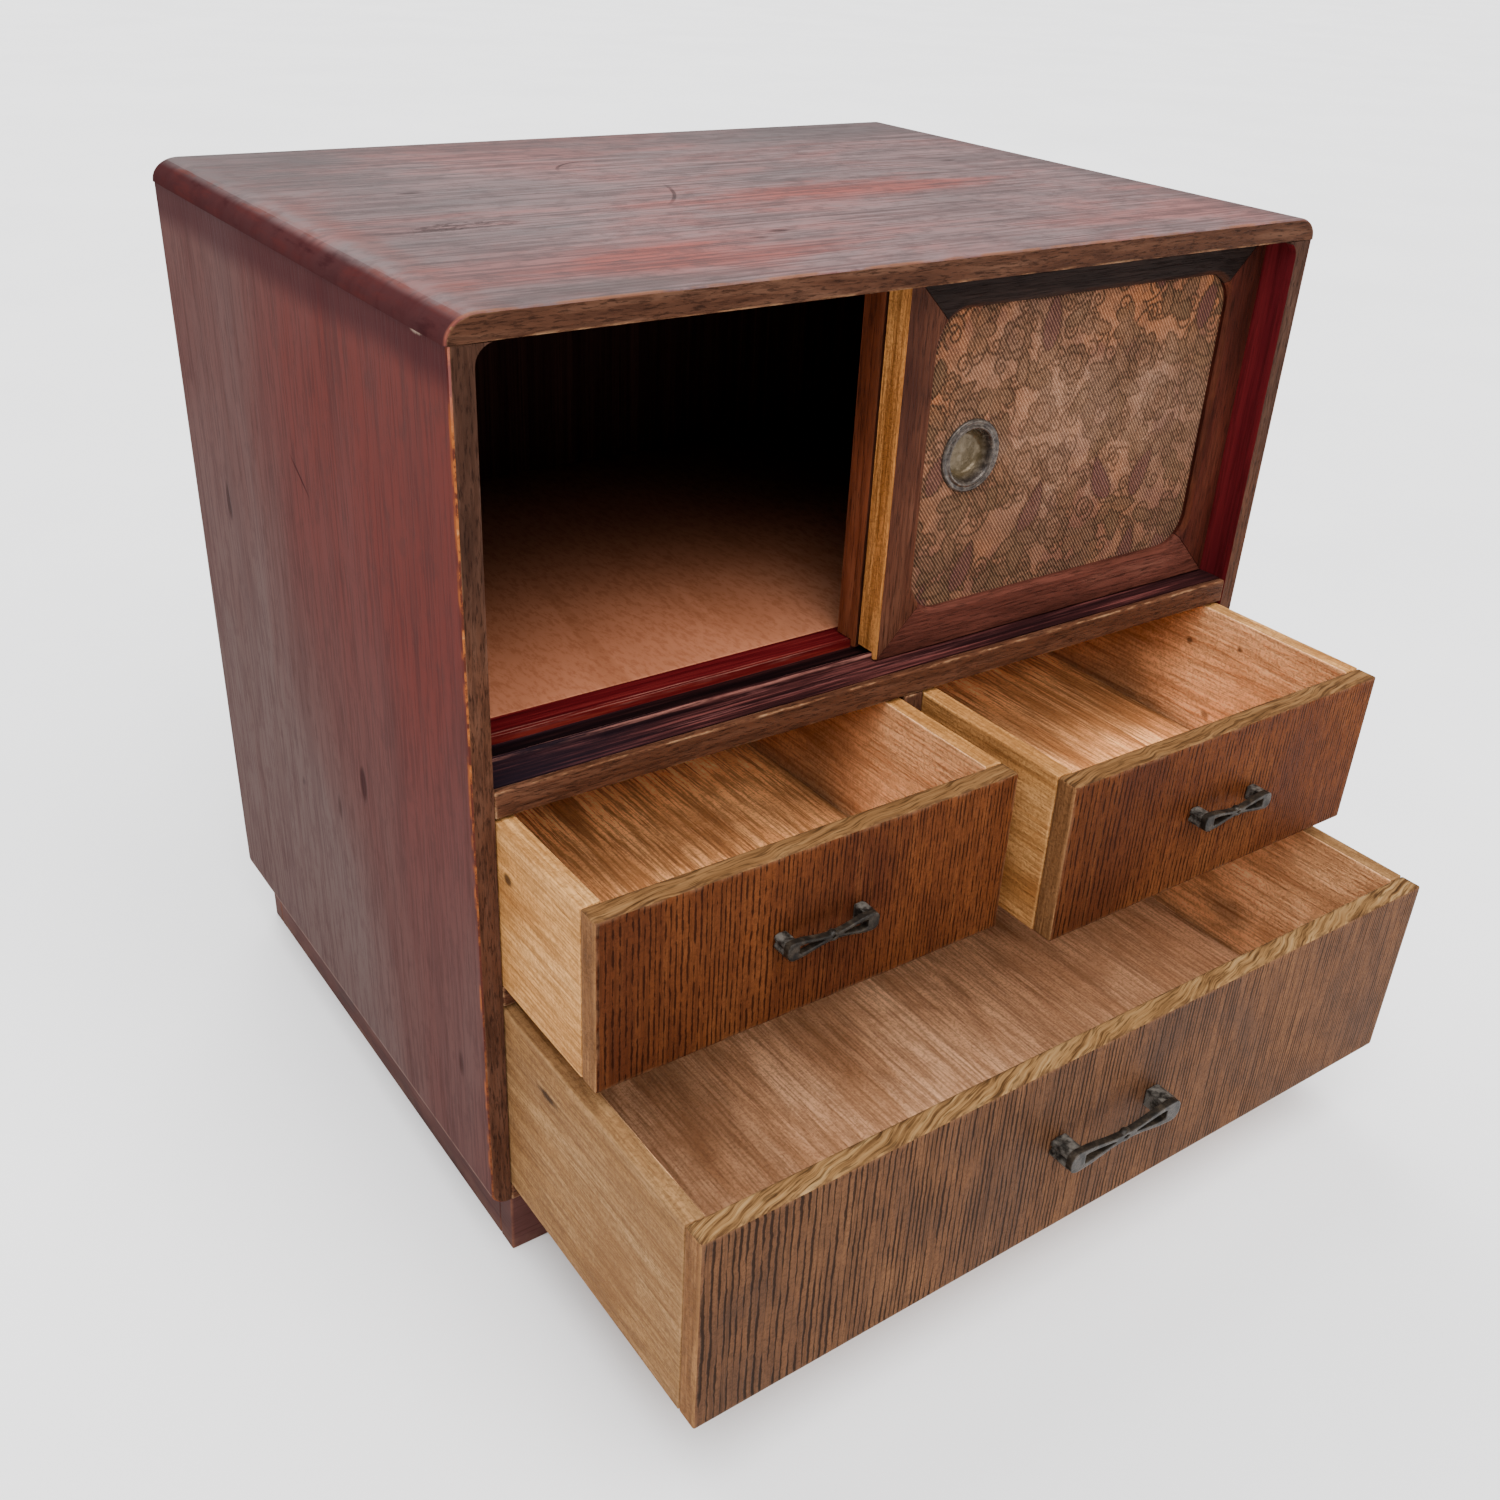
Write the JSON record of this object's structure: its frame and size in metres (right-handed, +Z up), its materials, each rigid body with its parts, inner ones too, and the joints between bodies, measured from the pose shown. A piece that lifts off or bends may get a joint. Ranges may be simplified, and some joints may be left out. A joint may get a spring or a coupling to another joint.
{
  "type": "tansu chest",
  "caption": "Small lacquered tansu chest: a cupboard with sliding brocade doors above drawers with cast bow handles, on a low plinth.",
  "frame": {"origin": "on the floor under the middle of the chest as it stands with its drawers drawn out", "axes": "+Z up, -Y towards the person in front of the drawers, +X to that person's right"},
  "size_m": [0.46, 0.4954, 0.4472],
  "materials": {
    "red_lacquer": "worn satin red lacquer over wood grain",
    "brown_band": "dark brown stain worn pale along the arrises",
    "dark_sill": "deep red lacquer with worn dark tracks",
    "pale_ply": "bare matt wood",
    "dark_back": "dark stained, matt",
    "dark_plinth": "dark red-brown stain, dull",
    "door_frame": "dark brown stain, satin",
    "brocade": "matt woven brocade in gold and maroon",
    "stained_oak": "stained open-pored veneer, satin",
    "drawer_wood": "bare pale wood, matt",
    "drawer_base": "bare brown wood, matt",
    "aged_pewter": "aged dull metal",
    "dark_bronze": "cast, with a grey-green patina"
  },
  "bodies": {
    "carcass": {"top_board": "red_lacquer", "left_side": "red_lacquer", "right_side": "red_lacquer", "bottom_board": "red_lacquer", "top_band": "brown_band", "left_band": "brown_band", "right_band": "brown_band", "shelf_band": "brown_band", "middle_band": "brown_band", "bottom_band": "brown_band", "drawer_divider": "brown_band", "middle_board": "dark_back", "back_panel": "dark_back", "door_sill": "dark_sill", "cupboard_floor": "pale_ply", "plinth_front": "dark_plinth", "plinth_back": "dark_plinth", "plinth_left": "dark_plinth", "plinth_right": "dark_plinth"},
    "front_door": {"front_door_left_stile": "door_frame", "front_door_right_stile": "door_frame", "front_door_top_rail": "door_frame", "front_door_bottom_rail": "door_frame", "front_door_panel": "brocade", "front_door_finger_pull": "aged_pewter"},
    "rear_door": {"rear_door_left_stile": "door_frame", "rear_door_right_stile": "door_frame", "rear_door_top_rail": "door_frame", "rear_door_bottom_rail": "door_frame", "rear_door_panel": "brocade", "rear_door_finger_pull": "aged_pewter"},
    "left_drawer": {"left_drawer_front": "stained_oak", "left_drawer_left_side": "drawer_wood", "left_drawer_right_side": "drawer_wood", "left_drawer_back": "drawer_wood", "left_drawer_bottom": "drawer_base", "left_drawer_handle": "dark_bronze"},
    "right_drawer": {"right_drawer_front": "stained_oak", "right_drawer_left_side": "drawer_wood", "right_drawer_right_side": "drawer_wood", "right_drawer_back": "drawer_wood", "right_drawer_bottom": "drawer_base", "right_drawer_handle": "dark_bronze"},
    "lower_drawer": {"lower_drawer_front": "stained_oak", "lower_drawer_left_side": "drawer_wood", "lower_drawer_right_side": "drawer_wood", "lower_drawer_back": "drawer_wood", "lower_drawer_bottom": "drawer_base", "lower_drawer_handle": "dark_bronze"}
  },
  "joints": [
    {"name": "front_door_slide", "type": "slide", "parent": "carcass", "child": "front_door", "axis": [1, 0, 0], "range_m": [-0.2065, 0.0021]},
    {"name": "rear_door_slide", "type": "slide", "parent": "carcass", "child": "rear_door", "axis": [1, 0, 0], "range_m": [-0.2065, 0.0021]},
    {"name": "left_drawer_slide", "type": "slide", "parent": "carcass", "child": "left_drawer", "axis": [0, -1, 0], "range_m": [-0.0785, 0.1215]},
    {"name": "right_drawer_slide", "type": "slide", "parent": "carcass", "child": "right_drawer", "axis": [0, -1, 0], "range_m": [-0.1005, 0.0995]},
    {"name": "lower_drawer_slide", "type": "slide", "parent": "carcass", "child": "lower_drawer", "axis": [0, -1, 0], "range_m": [-0.1545, 0.0455]}
  ]
}
